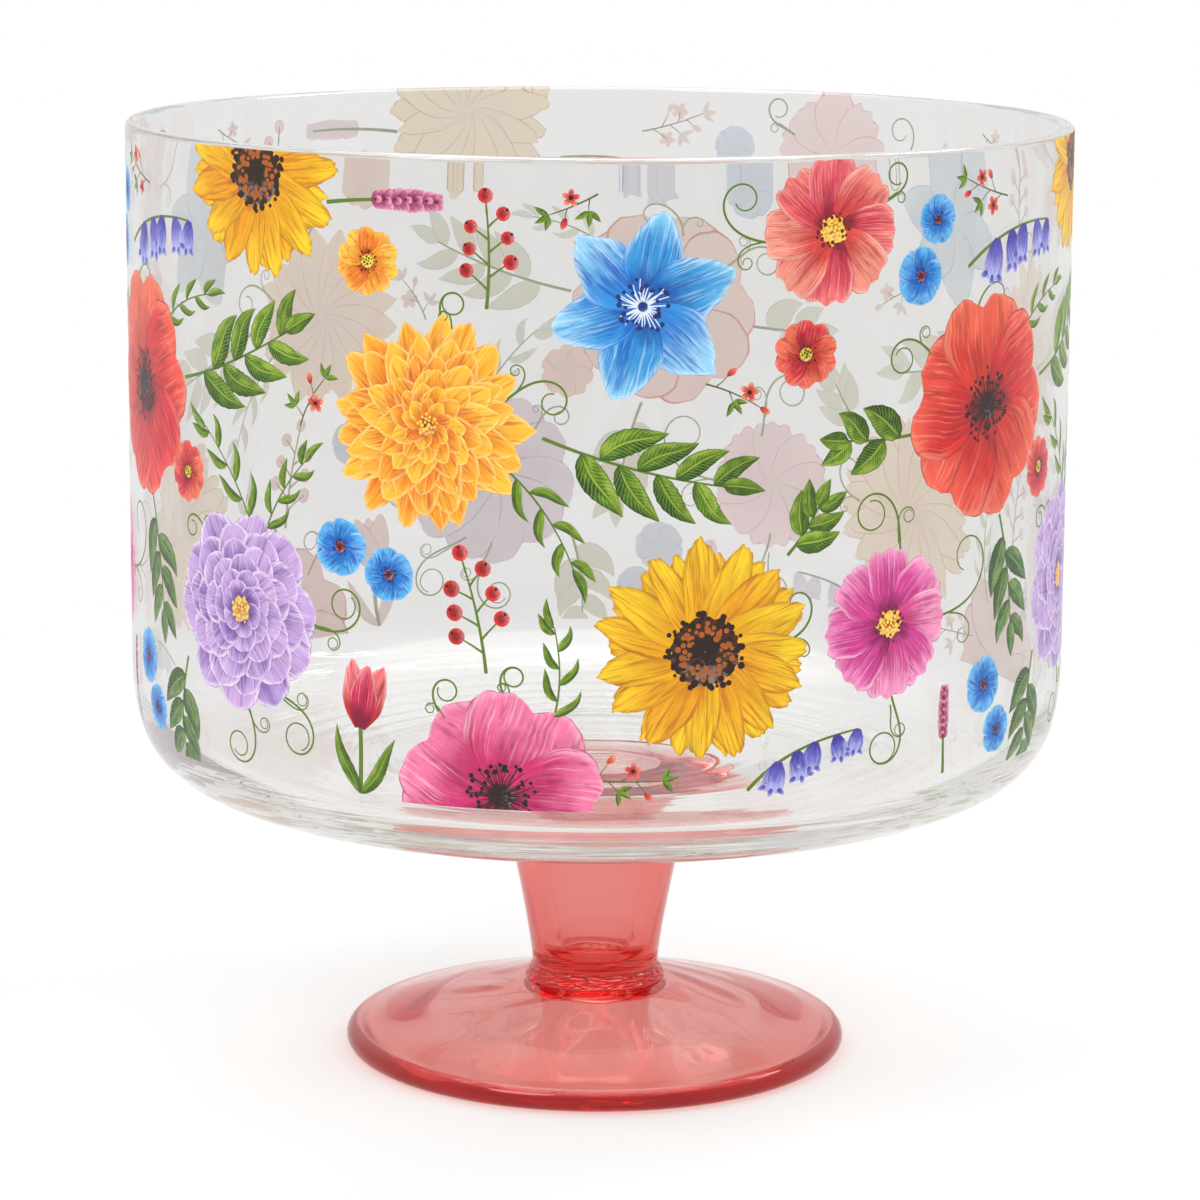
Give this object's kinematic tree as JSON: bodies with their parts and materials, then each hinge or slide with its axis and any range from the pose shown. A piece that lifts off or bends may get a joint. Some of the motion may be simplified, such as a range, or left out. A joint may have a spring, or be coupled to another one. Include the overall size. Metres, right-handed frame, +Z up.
{
  "type": "trifle bowl",
  "caption": "Clear straight-sided glass bowl with a rounded bottom corner and fired flower motifs, on a coral glass stem and round foot.",
  "frame": {"origin": "centre of the foot's resting ring, at the height of the table", "axes": "+Z up along the axis of bowl and stem; -Y towards the viewer of the picture, +X to that viewer's right"},
  "size_m": [0.2204, 0.2204, 0.223],
  "materials": {
    "clear_glass": "clear, fire polished",
    "coral_glass": "coral, coloured through, fire polished",
    "rose_enamel": "fired enamel print, coral red, opaque, soft gloss",
    "gerbera_enamel": "fired enamel print, orange, opaque, soft gloss",
    "camellia_enamel": "fired enamel print, violet, opaque, soft gloss",
    "marguerite_enamel": "fired enamel print, golden yellow, opaque, soft gloss",
    "clematis_enamel": "fired enamel print, sky blue, opaque, soft gloss",
    "cosmos_enamel": "fired enamel print, magenta pink, opaque, soft gloss",
    "primula_enamel": "fired enamel print, soft orange, opaque, soft gloss",
    "forget_me_not_enamel": "fired enamel print, bright blue, opaque, soft gloss",
    "tulip_enamel": "fired enamel print, orange and leaf green, opaque, soft gloss",
    "leaf_sprig_enamel": "fired enamel print, leaf green, opaque, soft gloss",
    "lavender_enamel": "fired enamel print, lilac and leaf green, opaque, soft gloss",
    "bluebell_enamel": "fired enamel print, mid blue and leaf green, opaque, soft gloss",
    "berry_enamel": "fired enamel print, red and twig brown, opaque, soft gloss"
  },
  "bodies": {
    "root": {"bowl": "clear_glass", "stem": "coral_glass", "joint_bead": "coral_glass", "foot": "coral_glass", "rose_decals": "rose_enamel", "gerbera_decals": "gerbera_enamel", "camellia_decals": "camellia_enamel", "marguerite_decals": "marguerite_enamel", "clematis_decals": "clematis_enamel", "cosmos_decals": "cosmos_enamel", "primula_decals": "primula_enamel", "forget_me_not_decals": "forget_me_not_enamel", "tulip_decals": "tulip_enamel", "leaf_sprig_decals": "leaf_sprig_enamel", "lavender_decals": "lavender_enamel", "bluebell_decals": "bluebell_enamel", "berry_decals": "berry_enamel"}
  },
  "joints": []
}
